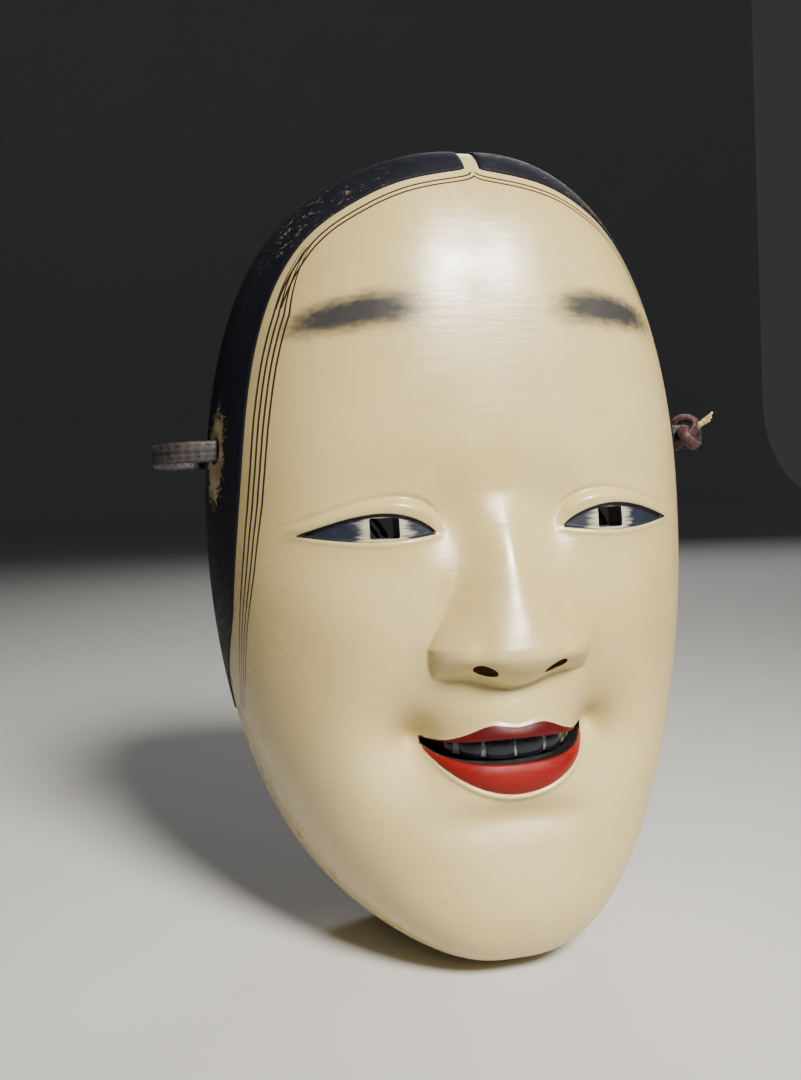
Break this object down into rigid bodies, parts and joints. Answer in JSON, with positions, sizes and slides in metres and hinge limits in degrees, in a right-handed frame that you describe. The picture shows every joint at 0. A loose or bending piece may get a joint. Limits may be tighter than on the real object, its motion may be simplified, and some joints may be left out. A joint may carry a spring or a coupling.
{
  "type": "noh mask",
  "caption": "Carved and painted mask of a young woman with an open back, braided tie cords and inner pads, worn on the face or hung by its rim",
  "frame": {"origin": "the middle of the flat back rim", "axes": "+Z to the crown, -Y the way the face looks, +X to the viewer's right; the back rim is the plane Y = 0"},
  "size_m": [0.1694, 0.0862, 0.214],
  "materials": {
    "hinoki_wood": "satin, aged",
    "back_lacquer": "rubbed urushi lacquer, satin",
    "gofun": "burnished shell white, semi-gloss",
    "hair_black": "ink black over glue, matt to satin, worn",
    "eye_paint": "indigo over shell white, satin",
    "vermilion": "vermilion, satin",
    "crimson": "deep red, satin",
    "tooth_black": "tooth black, gloss",
    "braid": "silk flat braid",
    "knot_silk": "silk braid, knotted",
    "gold_thread": "gilt thread binding",
    "pad_cloth": "padded silk"
  },
  "bodies": {
    "root": {"wood_core": "hinoki_wood", "back_lacquer": "back_lacquer", "face_coat": "gofun", "hair_coat_left": "hair_black", "hair_coat_right": "hair_black", "eye_coat_left": "eye_paint", "eye_coat_right": "eye_paint", "upper_lip_coat": "crimson", "lower_lip_coat": "vermilion", "teeth_coat": "tooth_black", "cord_left": "braid", "hank_left": "braid", "hank_tie_left": "gold_thread", "inner_knot_left": "braid", "cord_tip_left": "gold_thread", "cord_right": "braid", "hank_right": "braid", "hank_tie_right": "gold_thread", "inner_knot_right": "braid", "cord_tip_right": "gold_thread", "outer_knot_right": "knot_silk", "knot_tail_right": "gold_thread", "forehead_pad": "pad_cloth", "cheek_pad_left": "pad_cloth", "cheek_pad_right": "pad_cloth"}
  },
  "joints": []
}
